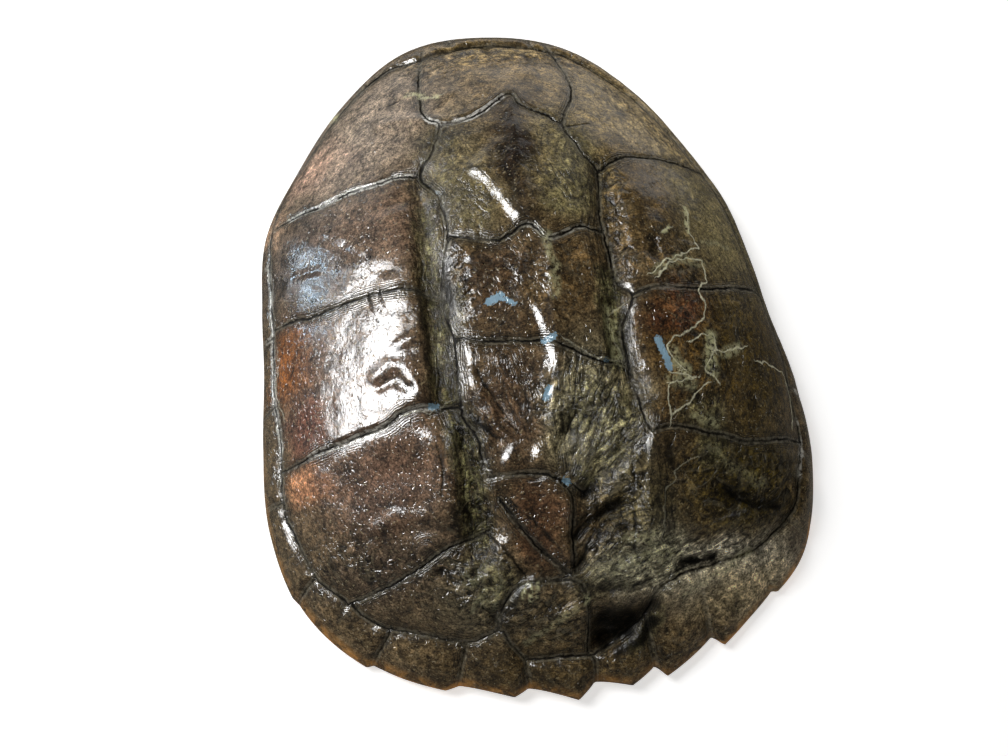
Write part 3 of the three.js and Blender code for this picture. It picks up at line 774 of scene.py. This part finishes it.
def inner_height(x, y, rho, degrees):
    """Height of the inner face: it clears every dip of the outer one, with backbone and ribs."""
    foot = rim_lift(degrees)
    calm = smoothstep(0.0, 0.12, 1 - rho)
    steps = ((0, 0), (5, 0), (-5, 0), (0, 5), (0, -5), (7, 7), (-7, 7), (7, -7), (-7, -7))
    dip = np.min([relief(x + dx, y + dy) + sunk(x + dx, y + dy) for dx, dy in steps], axis=0)
    dip = np.minimum(0, dip) - SETTLE
    backbone = BACKBONE[0] * np.exp(-(x / BACKBONE[1]) ** 2)
    rib_height, half_pitch, lean = RIBS
    rib = rib_height * np.maximum(0, np.cos((y + 6 - np.abs(x) * lean) * math.pi / half_pitch)) ** 3
    rib *= smoothstep(8, 20, np.abs(x))
    return (foot + (DOME_HEIGHT - WALL - foot) * fall(rho, degrees)
            - gutter(rho, degrees) * calm + calm * (dip - backbone - rib))


# ---- Mesh ------------------------------------------------------------------------------------
def even(s):
    """Share of the radius at which a ring of the grid is set."""
    return np.sin(CELL_SPREAD * s) / np.sin(CELL_SPREAD)


def polar(radius, degrees):
    """Plan place at a radius and an angle."""
    return radius * np.cos(np.radians(degrees)), radius * np.sin(np.radians(degrees))


def disc_places(u, v):
    """Where the points of a square grid go on a disc: share of the radius, and degrees."""
    s = np.maximum(np.abs(u), np.abs(v))
    safe_u = np.where(u == 0, 1, u)
    safe_v = np.where(v == 0, 1, v)
    across = np.abs(u) > np.abs(v)
    degrees = np.where(across, np.where(u > 0, 0.0, 180.0) + 45 * v / safe_u,
                       np.where(v > 0, 90.0, 270.0) - 45 * u / safe_v)
    return s, degrees % 360.0


def place(verts, x, y, z):
    """Set points from plan millimetres and height to the shell's own metres."""
    for vert, px, py, pz in zip(verts, x, y, z):
        vert.co = ((px - CENTRE[0]) / 1000, (py - CENTRE[1]) / 1000, pz / 1000)


def flat_places(verts):
    """Share of the radius, degrees and whether it is on the border, for a flat grid's points."""
    flat = np.array([v.co[:2] for v in verts])
    s, degrees = disc_places(flat[:, 0], flat[:, 1])
    return s, degrees, s > 1 - 1e-5


def tint_colors(x, y, base):
    """Base colour of the horn at each place, with the tints blended in."""
    color = np.tile(np.array(base, float), (len(x), 1))
    wide_x = x + 5 * lumps(x, y, 14, 21) + 2 * lumps(x, y, 5, 22)
    wide_y = y + 5 * lumps(x, y, 14, 23) + 2 * lumps(x, y, 5, 24)
    for (cx, cy), (rx, ry), tint, share in TINTS:
        weight = share * np.exp(-(((wide_x - cx) / rx) ** 2 + ((wide_y - cy) / ry) ** 2) ** 1.5)
        color += weight[:, None] * (np.array(tint) - color)
    return color


def outer_face(bm, cells):
    """Draw the outer face, and give the degrees at which each point of its border stands."""
    bmesh.ops.create_grid(bm, x_segments=cells, y_segments=cells, size=1.0)
    verts = list(bm.verts)
    s, degrees, border = flat_places(verts)
    share = even(s)
    radius = reach(degrees, share) * share
    x, y = polar(radius, degrees)
    z = outer_height(x, y, share, degrees, seam_distance(x, y)[0])
    place(verts, *polar(np.where(border, radius - EDGE_INSET, radius), degrees), z)
    return {v: d for v, d, e in zip(verts, degrees, border) if e}


def rim_edge(bm, border):
    """Round the rim over, step by step, down to the line it rests on."""
    loop = [e for e in bm.edges if e.is_boundary]
    for out, down in EDGE_STEPS:
        near = {(round(v.co.x, 7), round(v.co.y, 7)): d for v, d in border.items()}
        made = bmesh.ops.extrude_edge_only(bm, edges=loop)["geom"]
        loop = [g for g in made if isinstance(g, bmesh.types.BMEdge) and g.is_boundary]
        ring = [g for g in made if isinstance(g, bmesh.types.BMVert)]
        degrees = np.array([near[(round(v.co.x, 7), round(v.co.y, 7))] for v in ring])
        border = dict(zip(ring, degrees))
        teeth = tooth(degrees) * (1 if down < TOOTH_DEPTH else 0)
        radius = around(RIM_RADIUS, degrees) + teeth + out
        place(ring, *polar(radius, degrees), rim_lift(degrees) + EDGE_THICKNESS - down)
    return loop


def inner_face(bm, cells):
    """Draw the inner face, turned over and in bone, out to the flat that it rests on."""
    verts = bmesh.ops.create_grid(bm, x_segments=cells, y_segments=cells, size=1.0)["verts"]
    s, degrees, _ = flat_places(verts)
    last = 1 - 2 * max(1, round(cells * FLAT_CELL_SHARE)) / cells
    share = even(np.minimum(s / last, 1))
    beyond = np.clip((s - last) / (1 - last), 0, 1)
    radius = ((around(RIM_RADIUS, degrees) - EDGE_BEVEL - REST_FLAT) * share
              + beyond * (REST_FLAT - JOIN_STRIP))
    x, y = polar(radius, degrees)
    z = np.where(s >= last - 1e-6, rim_lift(degrees), inner_height(x, y, share, degrees))
    place(verts, x, y, z)
    faces = list({f for v in verts for f in v.link_faces})
    bmesh.ops.reverse_faces(bm, faces=faces)
    for face in faces:
        face.material_index = 1
    return list({e for v in verts for e in v.link_edges if e.is_boundary})


def build_shell(settings):
    """Make the closed shell, with the fields that its finishes read."""
    bm = bmesh.new()
    outer_loop = rim_edge(bm, outer_face(bm, settings.outer_cells))
    top_count = len(bm.verts)
    inner_loop = inner_face(bm, settings.inner_cells)
    bmesh.ops.bridge_loops(bm, edges=outer_loop + inner_loop)
    for face in bm.faces:
        face.smooth = True

    mesh = bpy.data.meshes.new("shell")
    bm.to_mesh(mesh)
    bm.free()
    shell = bpy.data.objects.new("shell", mesh)
    bpy.context.scene.collection.objects.link(shell)

    at = np.empty(len(mesh.vertices) * 3)
    mesh.vertices.foreach_get("co", at)
    at = at.reshape(-1, 3) * 1000
    on_top = np.arange(len(at)) < top_count
    put_fields(mesh, at[:, 0] + CENTRE[0], at[:, 1] + CENTRE[1], on_top, settings)
    return shell


def grown(patches, x, y):
    """How strongly patches along lines cover each place, from 0 to 1, with ragged edges."""
    out = np.zeros_like(x)
    wx, wy = x + 1.6 * lumps(x, y, 5, 32), y + 1.6 * lumps(x, y, 5, 33)
    for width, strength, line in patches:
        out = np.maximum(out, strength * np.exp(-(line_distance(line, wx, wy) / width) ** 4))
    return out


def store(mesh, name, kind, key, values):
    """Keep a value for each point of the mesh."""
    mesh.attributes.new(name, kind, "POINT").data.foreach_set(key, np.ravel(values))


def thin_rim(x, y):
    """Where the rim is thin enough to let light through: its very edge, at the rear."""
    degrees = np.degrees(np.arctan2(y, x))
    edge = np.hypot(x, y) / reach(degrees, np.ones_like(x))
    right, left = (np.exp(-(turn(degrees, middle) / width) ** 2)
                   for middle, width in (THIN_RIGHT, THIN_LEFT))
    return smoothstep(*THIN_SHARE, edge) * (0.1 + 0.9 * np.clip(right + 0.9 * left, 0, 1))


def put_fields(mesh, x, y, on_top, settings):
    """Store the distances and masks that the horn finish reads at every point."""
    tx, ty = x[on_top], y[on_top]
    seam, seam_side = seam_distance(tx, ty)
    jag_x, jag_y = swayed(tx, ty)
    jag_x, jag_y = jag_x + 0.9 * lumps(tx, ty, 2.6, 7), jag_y + 0.9 * lumps(tx, ty, 2.6, 8)
    crack, crack_side = nearest_side(CRACKS, jag_x, jag_y)
    crease, crease_side = nearest_side([smooth_line(c) for c in CREASES], *swayed(tx, ty))
    fleck = np.min([line_distance(line, tx, ty) - half for half, line in SKY_REFLECTIONS], axis=0)
    distances = {"seam": seam, "seam_side": seam_side, "crack": crack, "crack_side": crack_side,
                 "crease": crease, "crease_side": crease_side, "fleck": fleck}
    patches = {"moss": MOSS, "grime": SHADE_PATCHES, "worn": WEAR_AND_GLINT_PATCHES, "pale": PALE, "shine": SHINE}
    masks = {name: grown(rows, tx, ty) for name, rows in patches.items()}
    masks["crumpled"] = crumpling(tx, ty)
    masks["deep"] = deep_seam(tx, ty)
    masks["edge"] = thin_rim(tx, ty)
    masks["crack_pale"] = 0.3 + 0.7 * smoothstep(38, 44, tx) * smoothstep(-68, -62, ty)
    masks["strand"], across, run = strand_places(tx, ty)
    for fields, away in ((distances, FAR_AWAY), (masks, 0.0)):
        for name, values in fields.items():
            whole = np.full(len(x), away)
            whole[on_top] = values
            store(mesh, name, "FLOAT", "value", whole)
    flow = np.zeros((len(x), 3))
    flow[on_top, 0], flow[on_top, 1] = across, STRAND_STRETCH * run
    store(mesh, "flow", "FLOAT_VECTOR", "vector", flow)
    tint = np.ones((len(x), 4))
    tint[:, :3] = tint_colors(x, y, settings.horn_color)
    store(mesh, "tint", "FLOAT_COLOR", "color", tint)


# ---- Materials -------------------------------------------------------------------------------
class Web:
    """One new material, with short hands for making and joining its nodes."""

    def __init__(self, name):
        self.material = bpy.data.materials.new(name)
        self.material.use_nodes = True
        self.nodes = self.material.node_tree.nodes
        self.links = self.material.node_tree.links
        self.shader = self.nodes["Principled BSDF"].inputs
        self.coords = self.nodes.new("ShaderNodeTexCoord").outputs["Object"]

    def field(self, name, output="Fac"):
        node = self.nodes.new("ShaderNodeAttribute")
        node.attribute_name = name
        return node.outputs[output]

    def noise(self, scale, detail=3.0, roughness=0.5, stretch=None, distortion=0.0, on=None):
        node = self.nodes.new("ShaderNodeTexNoise")
        node.inputs["Scale"].default_value = scale
        node.inputs["Detail"].default_value = detail
        node.inputs["Roughness"].default_value = roughness
        node.inputs["Distortion"].default_value = distortion
        source = on or self.coords
        if stretch:
            mapping = self.nodes.new("ShaderNodeMapping")
            mapping.inputs["Scale"].default_value = stretch
            self.links.new(source, mapping.inputs["Vector"])
            source = mapping.outputs["Vector"]
        self.links.new(source, node.inputs["Vector"])
        return node.outputs["Fac"]

    def ramp(self, value, low, high, to_low=0.0, to_high=1.0):
        node = self.nodes.new("ShaderNodeMapRange")
        for name, number in (("From Min", low), ("From Max", high), ("To Min", to_low),
                             ("To Max", to_high)):
            node.inputs[name].default_value = number
        self.links.new(value, node.inputs["Value"])
        return node.outputs["Result"]

    def math(self, kind, first, second=None, third=None):
        node = self.nodes.new("ShaderNodeMath")
        node.operation = kind
        for slot, value in enumerate((first, second, third)):
            if value is None:
                continue
            if isinstance(value, (int, float)):
                node.inputs[slot].default_value = value
            else:
                self.links.new(value, node.inputs[slot])
        return node.outputs["Value"]

    def mix(self, factor, first, second, kind="MIX"):
        node = self.nodes.new("ShaderNodeMix")
        node.data_type = "RGBA"
        node.blend_type = kind
        for name, value in (("Factor", factor), ("A", first), ("B", second)):
            if isinstance(value, (int, float)):
                node.inputs[name].default_value = value
            elif isinstance(value, tuple):
                node.inputs[name].default_value = value + (1.0,)
            else:
                self.links.new(value, node.inputs[name])
        return node.outputs["Result"]

    def times(self, first, *rest):
        """Product of masks and numbers."""
        for value in rest:
            first = self.math("MULTIPLY", first, value)
        return first

    def shade(self, color, amount):
        """The colour made darker or lighter by an amount."""
        return self.mix(1.0, color, amount, "MULTIPLY")

    def bump(self, height, strength, *slots):
        """Turn a height in millimetres into the normal of some slots."""
        node = self.nodes.new("ShaderNodeBump")
        node.inputs["Strength"].default_value = strength
        node.inputs["Distance"].default_value = 0.001
        self.links.new(height, node.inputs["Height"])
        for slot in slots:
            self.links.new(node.outputs["Normal"], self.shader[slot])

    def line(self, name, inner, outer):
        """Mask of the lines a field measures the distance to: 1 on them, 0 away."""
        wobble = self.ramp(self.noise(500, 2.0), 0.3, 0.7, -0.25, 0.25)
        exact = self.math("ABSOLUTE", self.math("ADD", self.field(name + "_side"), wobble))
        far = self.ramp(self.field(name), 1.6, 2.4, 0.0, 9.0)
        return self.ramp(self.math("ADD", exact, far), inner, outer, 1.0, 0.0)


def horn_parts(web):
    """Stored fields, noises and masks that several layers of the horn share."""
    h = SimpleNamespace(**{name: web.field(name)
                           for name in ("seam", "crumpled", "worn", "deep")})
    h.tint = web.field("tint", "Color")
    for name, grain in NOISES.items():
        setattr(h, name, web.noise(*grain))
    h.wrinkle = web.noise(0.62, 4.0, 0.6, distortion=0.6, on=web.field("flow", "Vector"))
    h.matt = web.ramp(web.field("shine"), 0.0, 1.0, 1.0, 0.0)
    h.growth = web.times(web.field("moss"), web.ramp(h.mottle, 0.36, 0.52, 0.3, 1.0))
    h.strand = web.times(web.field("strand"), web.ramp(h.matt, 0.0, 1.0, 0.35, 1.0))
    h.flake = web.math("FRACT", web.times(h.wide, FLAKE_BANDS))
    h.seam_core = web.times(web.line("seam", 0.22, 0.62),
                            web.ramp(web.noise(70, 3.0), 0.34, 0.54, 0.35, 1.0), h.deep)
    h.crease = web.times(web.line("crease", 0.15, 0.9),
                         web.ramp(web.noise(100, 3.0), 0.36, 0.58, 0.2, 0.95))
    h.crack = web.times(web.line("crack", 0.1, 0.5), web.ramp(h.fine, 0.3, 0.5, 0.4, 1.0))
    # Painted shade: a near-black mask for the deepest places, hollows and grooves.
    h.grime = web.times(web.field("grime"), web.ramp(h.mottle, 0.30, 0.5, 0.6, 1.0))
    h.rings = growth_rings(web, h)
    return h


def growth_rings(web, h):
    """Fine ripples that run beside the seams, from -1 to 1."""
    ripple = web.math("SINE", web.math("ADD", web.times(h.seam, RING_PITCH),
                                       web.times(h.cloud, RING_SWAY)))
    beside = web.times(web.ramp(h.seam, 5.5, 1.5), web.ramp(h.seam, 0.5, 1.0))
    patchy = web.ramp(web.noise(45, 2.0), 0.42, 0.60)
    return web.times(ripple, web.times(beside, patchy))


def horn_base(web, h):
    """The tint of the place: mossy, clouded, freckled and flecked with gold."""
    green = web.mix(web.ramp(h.fiber, 0.36, 0.64), MOSS_DARK, MOSS_PALE)
    color = web.mix(h.growth, h.tint, green)
    color = web.shade(color, web.ramp(h.cloud, 0.34, 0.68, 0.32, 1.72))
    calm = web.shade(color, web.ramp(h.mottle, 0.36, 0.66, 0.36, 1.70))
    rugged = web.shade(color, web.ramp(h.mottle, 0.40, 0.62, 0.34, 1.8))
    color = web.mix(web.ramp(h.crumpled, 0.05, 0.6), calm, rugged)
    knotted = web.shade(color, web.ramp(h.knots, 0.38, 0.62, 0.22, 1.9))
    color = web.mix(web.ramp(h.crumpled, 0.05, 0.6), color, knotted)
    color = web.shade(color, web.ramp(h.fine, 0.36, 0.66, 0.30, 1.9))
    return web.mix(web.ramp(h.gold, 0.62, 0.70, 0.0, 0.7), color,
                   web.mix(0.45, h.tint, GOLD_FLECK))


def horn_wear(web, h, color):
    """Wrinkles along the strands, then flakes with painted shade at the foot of each step and
    painted light on its raised edge.
    """
    wrinkled = web.shade(color, web.ramp(h.wrinkle, 0.36, 0.66, 0.15, 1.9))
    color = web.mix(h.strand, color, wrinkled)
    # Painted shade at the foot of each flake's step, and painted light on its raised edge.
    under = web.times(web.ramp(h.flake, 0.30, 0.0), h.crumpled)
    edge = web.times(web.ramp(h.flake, 0.72, 0.98, 0.0, 0.55), h.crumpled)
    color = web.mix(web.times(under, 0.9), color, FLAKE_SHADE)
    return web.mix(edge, color, FLAKE_EDGE_LIGHT)


def horn_seams(web, h, color):
    """Painted shade and growth rings beside the seams, pale lips partly worn and partly painted
    highlight, and the seams.
    """
    shadow = web.times(web.ramp(h.seam, 4.6, 0.6, 0.0, 0.85),
                       web.ramp(h.cloud, 0.3, 0.6, 0.3, 1.0), h.deep)
    color = web.mix(shadow, color, SEAM_SHADE)
    color = web.shade(color, web.ramp(h.rings, -1.0, 1.0, 0.5, 1.5))
    # Pale lips along the seams: partly worn horn, partly a painted highlight that turns near white
    # where the mask is strong.
    lip = web.times(web.line("seam", 1.0, 1.9), web.ramp(h.mottle, 0.38, 0.56),
                    web.math("ADD", h.worn, 0.3))
    color = web.mix(lip, color, web.mix(h.worn, LIP_HORN, LIP_WEAR_AND_GLINT))
    return web.mix(h.seam_core, color, SEAM_DIRT)


def horn_marks(web, h, color):
    """Painted crease shade, cracks, pale scale, amber thin rim, painted sky reflections, painted
    black shade.
    """
    # Painted shade along the creases.
    color = web.mix(h.crease, color, CREASE_SHADE)
    color = web.mix(web.times(h.crack, web.field("crack_pale")), color, CRACK_EDGE)
    scale = web.times(web.field("pale"), web.ramp(h.mottle, 0.42, 0.56))
    color = web.mix(scale, color, PALE_SCALE)
    amber = web.times(web.field("edge"), web.ramp(h.cloud, 0.42, 0.60, 0.1, 1.0))
    color = web.mix(amber, color, THIN_AMBER)
    # Painted reflections of the blue sky, as small blue flecks.
    ragged = web.math("ADD", web.field("fleck"), web.ramp(h.fine, 0.3, 0.7, -0.7, 0.7))
    color = web.mix(web.ramp(ragged, 0.15, -0.15), color, SKY_REFLECTION_BLUE)
    # Painted shade, near black, in the deepest places.
    return web.mix(h.grime, color, PAINTED_SHADE_BLACK)


def horn_height(web, h):
    """Height in millimetres: waves, grain, pits, flakes, knots, rings, lines and wrinkles."""
    waves = web.times(web.ramp(h.ground, 0.0, 1.0, -0.24, 0.24),
                      web.ramp(h.matt, 0.0, 1.0, 0.4, 1.0))
    broken = web.times(web.ramp(h.crumpled, 0.18, 0.6), h.matt)
    layers = (
        web.ramp(h.mottle, 0.0, 1.0, -0.09, 0.09),
        web.times(web.ramp(web.noise(75, 2.0), 0.42, 0.62),
                  web.ramp(h.pits, 0.60, 0.68, 0.0, -0.24)),
        web.ramp(h.gold, 0.64, 0.74, 0.0, 0.14),
        web.times(h.flake, h.crumpled, web.ramp(h.matt, 0.0, 1.0, 0.15, 0.6)),
        web.times(broken, web.ramp(h.knots, 0.3, 0.7, -0.6, 0.6)),
        web.times(h.rings, 0.10),
        web.times(h.seam_core, -0.6),
        web.times(h.crease, -0.5),
        web.times(h.crack, 0.15),
        web.times(h.growth, web.ramp(h.fiber, 0.0, 1.0, -0.2, 0.7)),
        web.times(h.strand, web.ramp(h.wrinkle, 0.3, 0.7, -0.42, 0.42)),
    )
    height = waves
    for layer in layers:
        height = web.math("ADD", height, layer)
    return height


def horn_dullness(web, h):
    """Where the lacquer is gone: moss, painted shade, crumpled horn, strands, seams and creases."""
    dull = web.math("MAXIMUM", web.times(h.growth, 0.85), h.grime)
    dull = web.math("MAXIMUM", dull, web.times(h.crumpled, 0.45))
    frayed = web.times(h.strand, web.ramp(h.cloud, 0.36, 0.6, 0.3, 0.85))
    dull = web.times(web.math("MAXIMUM", dull, frayed), h.matt)
    return web.math("MAXIMUM", dull, web.math("MAXIMUM", h.seam_core, h.crease))


def horn_material(settings):
    """Dark horn under a clear coat."""
    web = Web("horn")
    h = horn_parts(web)
    color = horn_base(web, h)
    for layer in (horn_wear, horn_seams, horn_marks):
        color = layer(web, h, color)
    web.links.new(color, web.shader["Base Color"])
    web.bump(horn_height(web, h), 1.0, "Normal", "Coat Normal")
    web.shader["Roughness"].default_value = 0.55
    web.shader["Specular IOR Level"].default_value = 0.06
    web.links.new(web.ramp(horn_dullness(web, h), 0.0, 1.0, 1.0, 0.0), web.shader["Coat Weight"])
    web.shader["Coat Roughness"].default_value = settings.lacquer_roughness
    return web.material


def bone_material(settings):
    """Dry, stained and porous bone."""
    web = Web("bone")
    stain = web.noise(35, 5.0, 0.6, distortion=0.5)
    pores = web.noise(620, 3.0, 0.6)
    base = tuple(settings.bone_color)
    color = web.mix(web.ramp(stain, 0.35, 0.65), tuple(0.5 * c for c in base), base)
    color = web.shade(color, web.ramp(pores, 0.34, 0.60, 0.55, 1.15))
    web.links.new(color, web.shader["Base Color"])
    web.bump(web.math("ADD", web.times(stain, 0.6), web.times(pores, 0.25)), 0.6, "Normal")
    web.shader["Roughness"].default_value = 0.65
    return web.material


def floor_material(glow):
    """Plain pale floor that gives a little light by itself."""
    web = Web("pale_floor")
    web.shader["Base Color"].default_value = FLOOR_COLOR
    web.shader["Roughness"].default_value = 0.9
    web.shader["Specular IOR Level"].default_value = 0.1
    web.shader["Emission Color"].default_value = (1.0, 1.0, 1.0, 1)
    web.shader["Emission Strength"].default_value = glow
    return web.material


# ---- Operators -------------------------------------------------------------------------------
class CARAPACE_OT_shell(bpy.types.Operator):
    """Build the whole carapace as one closed shell, with its horn and bone finishes"""
    bl_idname = "carapace.shell"
    bl_label = "Carapace"

    def execute(self, context):
        settings = context.scene.carapace
        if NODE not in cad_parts:
            raise RuntimeError("the packed part has no node named " + NODE)
        shell = build_shell(settings)
        shell.data.materials.append(horn_material(settings))
        shell.data.materials.append(bone_material(settings))
        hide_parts(NODE)
        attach(shell, "root")
        return {"FINISHED"}


class CARAPACE_OT_stage(bpy.types.Operator):
    """Lay the floor, hang the lights and set the camera"""
    bl_idname = "carapace.stage"
    bl_label = "Studio"

    def execute(self, context):
        scene, studio = context.scene, context.scene.studio
        self.lay_floor(scene, studio)
        world = bpy.data.worlds.new("room")
        world.use_nodes = True
        room = world.node_tree.nodes["Background"].inputs
        room["Color"].default_value = ROOM_COLOR
        room["Strength"].default_value = studio.room_strength
        scene.world = world
        for light in LIGHTS:
            self.hang_light(scene, getattr(studio, light[0] + "_power"), *light)
        self.set_camera(scene, studio)
        scene.view_settings.view_transform = "Standard"
        return {"FINISHED"}

    def lay_floor(self, scene, studio):
        bm = bmesh.new()
        bmesh.ops.create_grid(bm, x_segments=1, y_segments=1, size=FLOOR_HALF)
        mesh = bpy.data.meshes.new("floor")
        bm.to_mesh(mesh)
        bm.free()
        floor = bpy.data.objects.new("floor", mesh)
        scene.collection.objects.link(floor)
        mesh.materials.append(floor_material(studio.floor_glow))
        floor.visible_glossy = False
        floor.visible_shadow = False

    def hang_light(self, scene, power, name, at, target, size, color, left_out_of):
        data = bpy.data.lights.new(name, "AREA")
        data.shape = "RECTANGLE"
        data.size, data.size_y = size
        data.energy = power
        data.color = color
        lamp = bpy.data.objects.new(name, data)
        scene.collection.objects.link(lamp)
        lamp.location = at
        aim = Vector(target) - Vector(at)
        lamp.rotation_euler = aim.to_track_quat("-Z", "Y").to_euler()
        if left_out_of:
            setattr(lamp, left_out_of, False)

    def set_camera(self, scene, studio):
        data = bpy.data.cameras.new("camera")
        data.lens = studio.lens
        data.sensor_width = SENSOR_WIDTH
        camera = bpy.data.objects.new("camera", data)
        scene.collection.objects.link(camera)
        back = Vector((-math.tan(math.radians(LEAN_LEFT)), -math.tan(math.radians(LEAN_BACK)), 1.0))
        back.normalize()
        roll = math.radians(ROLL)
        right = Vector((math.sin(roll), math.cos(roll), 0.0)).cross(back).normalized()
        turned = Matrix((right, back.cross(right), back)).transposed().to_4x4()
        camera.matrix_world = Matrix.Translation(Vector(AIM) + back * studio.distance) @ turned
        scene.camera = camera


class CARAPACE_PT_panel(bpy.types.Panel):
    bl_label = "Carapace"
    bl_idname = "CARAPACE_PT_panel"
    bl_space_type = "VIEW_3D"
    bl_region_type = "UI"
    bl_category = "Carapace"

    def draw(self, context):
        scene = context.scene
        for settings, operator in ((scene.carapace, CARAPACE_OT_shell),
                                   (scene.studio, CARAPACE_OT_stage)):
            for name in settings.__annotations__:
                self.layout.prop(settings, name)
            self.layout.operator(operator.bl_idname)


CLASSES = (CarapaceSettings, StudioSettings, CARAPACE_OT_shell, CARAPACE_OT_stage,
           CARAPACE_PT_panel)


def register():
    for cls in CLASSES:
        bpy.utils.register_class(cls)
    bpy.types.Scene.carapace = bpy.props.PointerProperty(type=CarapaceSettings)
    bpy.types.Scene.studio = bpy.props.PointerProperty(type=StudioSettings)


def unregister():
    del bpy.types.Scene.carapace
    del bpy.types.Scene.studio
    for cls in reversed(CLASSES):
        bpy.utils.unregister_class(cls)


def main():
    register()
    bpy.ops.carapace.shell()
    bpy.ops.carapace.stage()


if __name__ == "__main__":
    main()
